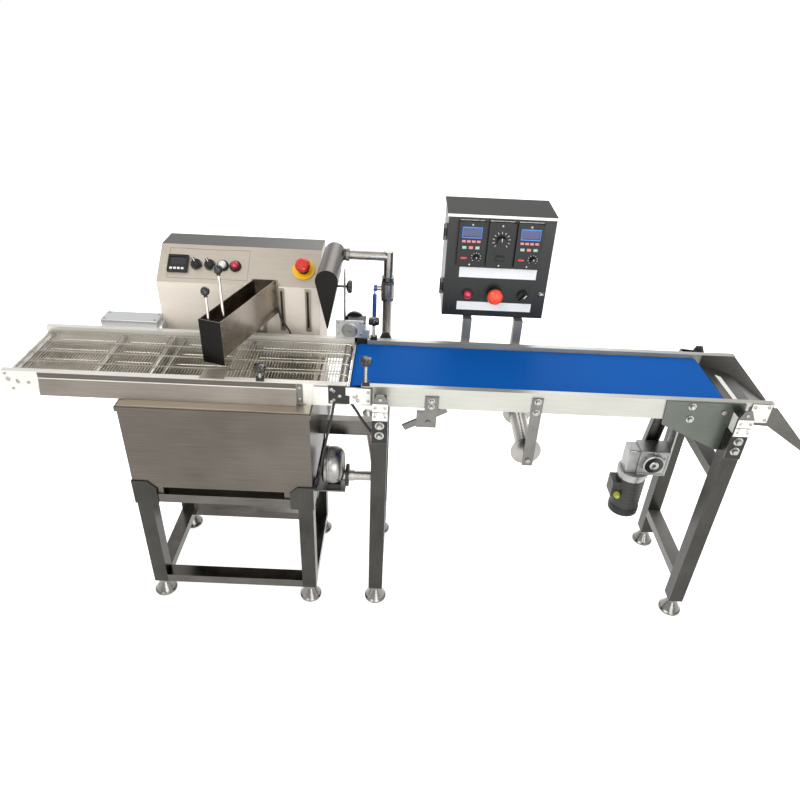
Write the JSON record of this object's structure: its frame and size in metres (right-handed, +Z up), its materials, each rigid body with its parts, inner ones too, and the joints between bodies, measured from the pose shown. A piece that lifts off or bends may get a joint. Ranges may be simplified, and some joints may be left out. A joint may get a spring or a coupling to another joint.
{
  "type": "chocolate enrober",
  "caption": "Chocolate enrober with a heated tank, pumped flow box, wire belt, air knife, and a belt outfeed conveyor with a control box.",
  "frame": {"origin": "floor level, under the middle of the whole machine", "axes": "+X along the line from infeed to discharge, +Y to the back of the machine, +Z up"},
  "size_m": [1.937, 0.5259, 1.02],
  "materials": {
    "brushed_steel": "satin",
    "bright_steel": "satin",
    "tube_steel": "satin",
    "polished_steel": "polished",
    "dark_plate": "satin",
    "box_paint": "satin",
    "black_plastic": "matte",
    "red_plastic": "gloss",
    "yellow_plastic": "gloss",
    "blue_belt": "satin",
    "blue_paint": "gloss",
    "cast_aluminium": "satin",
    "motor_paint": "satin",
    "cable_rubber": "matte"
  },
  "bodies": {
    "machine": {"base_legs": "tube_steel", "base_rails": "tube_steel", "levelling_feet": "polished_steel", "tank_shell": "brushed_steel", "inner_vat": "bright_steel", "heater": "brushed_steel", "pump_casing": "bright_steel", "pump_motor": "motor_paint", "cabinet": "brushed_steel", "temp_controller": "black_plastic", "panel_fittings": "black_plastic", "estop_plate": "yellow_plastic", "cables": "cable_rubber", "enrober_rails": "bright_steel", "side_cover": "brushed_steel", "wire_belt": "bright_steel", "infeed_pan": "brushed_steel", "flow_box": "brushed_steel", "air_pipe": "bright_steel", "blower": "cast_aluminium", "rear_gearmotors": "cast_aluminium", "side_plates": "dark_plate", "clamp_knobs": "black_plastic", "outfeed_rails": "bright_steel", "conveyor_legs": "tube_steel", "support_bars": "tube_steel", "bracket_plates": "dark_plate", "conveyor_belt": "blue_belt", "belt_bed": "brushed_steel", "discharge_chute": "brushed_steel", "drive_gearmotor": "motor_paint", "drive_chain": "tube_steel", "chain_guard": "brushed_steel", "control_box": "box_paint"},
    "pump_rotor": {"pump_rotor": "brushed_steel"},
    "selector_a": {"selector_a": "black_plastic"},
    "selector_b": {"selector_b": "black_plastic"},
    "cabinet_estop": {"cabinet_estop": "red_plastic"},
    "infeed_roller": {"infeed_roller": "brushed_steel"},
    "wire_drive_roller": {"wire_drive_roller": "brushed_steel"},
    "support_roller": {"support_roller": "brushed_steel"},
    "transfer_roller": {"transfer_roller": "brushed_steel"},
    "gate_front": {"gate_front": "black_plastic"},
    "gate_side": {"gate_side": "black_plastic"},
    "air_knife": {"air_knife": "brushed_steel"},
    "valve_lever": {"valve_lever": "blue_paint"},
    "detailing_rod": {"detailing_rod": "bright_steel"},
    "nose_roller": {"nose_roller": "brushed_steel"},
    "drive_roller": {"drive_roller": "brushed_steel"},
    "motor_sprocket": {"motor_sprocket": "tube_steel"},
    "spool": {"spool": "brushed_steel"},
    "scraper": {"scraper": "tube_steel"},
    "control_door": {"control_door": "box_paint", "speed_controllers": "black_plastic", "door_fittings": "black_plastic"},
    "door_estop": {"door_estop": "red_plastic"},
    "door_selector": {"door_selector": "black_plastic"},
    "left_dial": {"left_dial": "black_plastic"},
    "centre_dial": {"centre_dial": "black_plastic"},
    "right_dial": {"right_dial": "black_plastic"}
  },
  "joints": [
    {"name": "infeed_roller", "type": "hinge", "parent": "machine", "child": "infeed_roller", "pos_m": [-0.9545, -0.0905, 0.6675], "axis": [0, 1, 0], "continuous": true},
    {"name": "wire_drive_roller", "type": "hinge", "parent": "machine", "child": "wire_drive_roller", "pos_m": [-0.7665, -0.0905, 0.6675], "axis": [0, 1, 0], "continuous": true},
    {"name": "support_roller", "type": "hinge", "parent": "machine", "child": "support_roller", "pos_m": [-0.6365, -0.0905, 0.6675], "axis": [0, 1, 0], "continuous": true},
    {"name": "transfer_roller", "type": "hinge", "parent": "machine", "child": "transfer_roller", "pos_m": [-0.1765, -0.0905, 0.6675], "axis": [0, 1, 0], "continuous": true},
    {"name": "nose_roller", "type": "hinge", "parent": "machine", "child": "nose_roller", "pos_m": [-0.1425, -0.0905, 0.6635], "axis": [0, 1, 0], "continuous": true},
    {"name": "drive_roller", "type": "hinge", "parent": "machine", "child": "drive_roller", "pos_m": [0.7235, -0.0905, 0.6635], "axis": [0, 1, 0], "continuous": true},
    {"name": "motor_sprocket", "type": "hinge", "parent": "machine", "child": "motor_sprocket", "pos_m": [0.6915, 0.042, 0.354], "axis": [0, 1, 0], "continuous": true},
    {"name": "detailing_rod", "type": "hinge", "parent": "machine", "child": "detailing_rod", "pos_m": [-0.159, -0.0905, 0.6745], "axis": [0, 1, 0], "continuous": true},
    {"name": "spool", "type": "hinge", "parent": "machine", "child": "spool", "pos_m": [0.2855, -0.0905, 0.498], "axis": [0, 1, 0], "continuous": true},
    {"name": "scraper", "type": "hinge", "parent": "machine", "child": "scraper", "pos_m": [0.0315, -0.0905, 0.598], "axis": [0, 1, 0], "range_deg": [0, 8]},
    {"name": "pump_rotor", "type": "hinge", "parent": "machine", "child": "pump_rotor", "pos_m": [-0.41329, 0.102, 0.47], "axis": [0, 1, 0], "continuous": true},
    {"name": "air_knife", "type": "hinge", "parent": "machine", "child": "air_knife", "pos_m": [-0.2245, 0.137, 0.876], "axis": [1, 0, 0], "range_deg": [-3, 3]},
    {"name": "valve_lever", "type": "hinge", "parent": "machine", "child": "valve_lever", "pos_m": [-0.1185, 0.137, 0.786], "axis": [-1, 0, 0], "range_deg": [0, 90]},
    {"name": "gate_front", "type": "slide", "parent": "machine", "child": "gate_front", "axis": [0, 0, 1], "range_m": [0, 0.03]},
    {"name": "gate_side", "type": "slide", "parent": "machine", "child": "gate_side", "axis": [0, 0, 1], "range_m": [0, 0.03]},
    {"name": "selector_a", "type": "hinge", "parent": "machine", "child": "selector_a", "pos_m": [-0.5905, 0.13645, 0.82888], "axis": [0, -0.6515, 0.7586], "range_deg": [-45, 45]},
    {"name": "selector_b", "type": "hinge", "parent": "machine", "child": "selector_b", "pos_m": [-0.5545, 0.13645, 0.82888], "axis": [0, -0.6515, 0.7586], "range_deg": [-45, 45]},
    {"name": "cabinet_estop", "type": "slide", "parent": "machine", "child": "cabinet_estop", "axis": [0, 0.6515, -0.7586], "range_m": [0, 0.003], "stiffness_N_per_m": 400},
    {"name": "control_door", "type": "hinge", "parent": "machine", "child": "control_door", "pos_m": [0.0555, 0.0555, 0.856], "axis": [0, 0, -1], "range_deg": [0, 110]},
    {"name": "door_estop", "type": "slide", "parent": "control_door", "child": "door_estop", "axis": [0, 1, 0], "range_m": [0, 0.003], "stiffness_N_per_m": 400},
    {"name": "door_selector", "type": "hinge", "parent": "control_door", "child": "door_selector", "pos_m": [0.2645, 0.054, 0.818], "axis": [0, -1, 0], "range_deg": [-45, 45]},
    {"name": "left_dial", "type": "hinge", "parent": "control_door", "child": "left_dial", "pos_m": [0.1345, 0.054, 0.919], "axis": [0, -1, 0], "range_deg": [-135, 135]},
    {"name": "centre_dial", "type": "hinge", "parent": "control_door", "child": "centre_dial", "pos_m": [0.192, 0.054, 0.964], "axis": [0, -1, 0], "range_deg": [-135, 135]},
    {"name": "right_dial", "type": "hinge", "parent": "control_door", "child": "right_dial", "pos_m": [0.2745, 0.054, 0.919], "axis": [0, -1, 0], "range_deg": [-135, 135]}
  ],
  "couplings": [
    {"joint": "infeed_roller", "follows": "wire_drive_roller", "ratio": 1},
    {"joint": "support_roller", "follows": "wire_drive_roller", "ratio": 1},
    {"joint": "transfer_roller", "follows": "wire_drive_roller", "ratio": 1},
    {"joint": "nose_roller", "follows": "drive_roller", "ratio": 1},
    {"joint": "motor_sprocket", "follows": "drive_roller", "ratio": 1}
  ]
}
